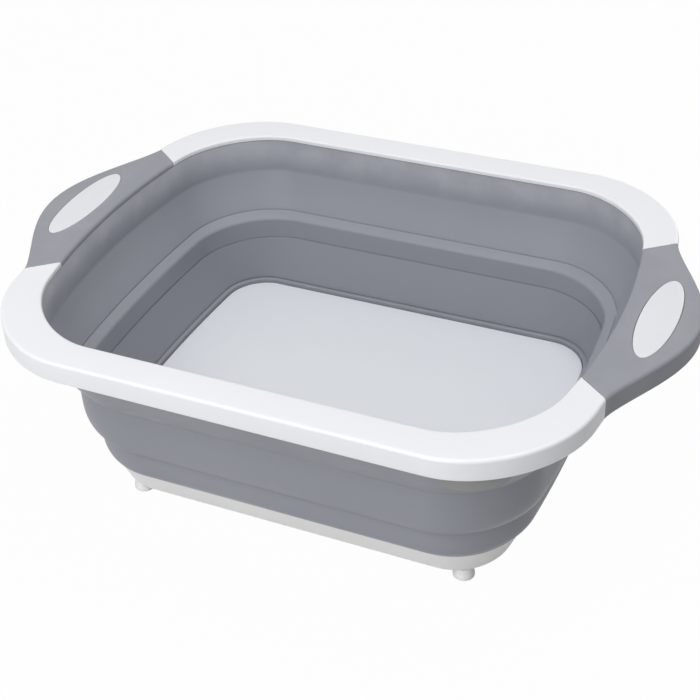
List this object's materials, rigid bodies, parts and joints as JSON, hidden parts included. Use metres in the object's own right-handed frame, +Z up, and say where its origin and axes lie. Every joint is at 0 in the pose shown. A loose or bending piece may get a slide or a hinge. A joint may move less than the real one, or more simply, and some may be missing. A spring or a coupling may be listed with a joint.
{
  "type": "collapsible dish tub",
  "caption": "Collapsible dish tub with a cutting board floor: a soft wall folds flat between a white rim with grips and a footed base with a plugged drain.",
  "frame": {"origin": "middle of the tub seen from above, on the surface that the feet stand on", "axes": "+X along the long side towards the right-hand grip, +Y from the front long side to the back one, +Z up"},
  "size_m": [0.3746, 0.2706, 0.1249],
  "materials": {
    "rim_white": "satin moulded polypropylene",
    "grip_grey": "fine matt soft rubber",
    "inlay_white": "satin moulded polypropylene",
    "pad_white": "matt moulded plastic",
    "wall_grey": "smooth soft rubber with a low sheen",
    "board_white": "fine matt board",
    "base_white": "matt moulded plastic",
    "drain_white": "matt moulded plastic",
    "plug_grey": "smooth soft rubber",
    "foot_white": "matt moulded plastic"
  },
  "bodies": {
    "base": {"base_tray": "base_white", "cutting_board": "board_white", "wall_lower_collar": "wall_grey", "wall_fold_lining": "wall_grey", "drain_fitting": "drain_white", "foot_front_left": "foot_white", "foot_front_right": "foot_white", "foot_back_left": "foot_white", "foot_back_right": "foot_white"},
    "middle": {"wall_middle_tier": "wall_grey"},
    "rim": {"rim_frame": "rim_white", "grip_left": "grip_grey", "grip_right": "grip_grey", "grip_inlay_left": "inlay_white", "grip_inlay_right": "inlay_white", "stacking_pad_front_right": "pad_white", "wall_upper_tier": "wall_grey"},
    "plug": {"drain_plug": "plug_grey"}
  },
  "joints": [
    {"name": "fold_lower", "type": "slide", "parent": "base", "child": "middle", "axis": [0, 0, 1], "range_m": [-0.043, 0], "deforming": ["wall_fold_lining"]},
    {"name": "fold_upper", "type": "slide", "parent": "middle", "child": "rim", "axis": [0, 0, 1], "range_m": [-0.0345, 0]},
    {"name": "plug_lift", "type": "slide", "parent": "base", "child": "plug", "axis": [0, 0, 1], "range_m": [0, 0.03]}
  ]
}
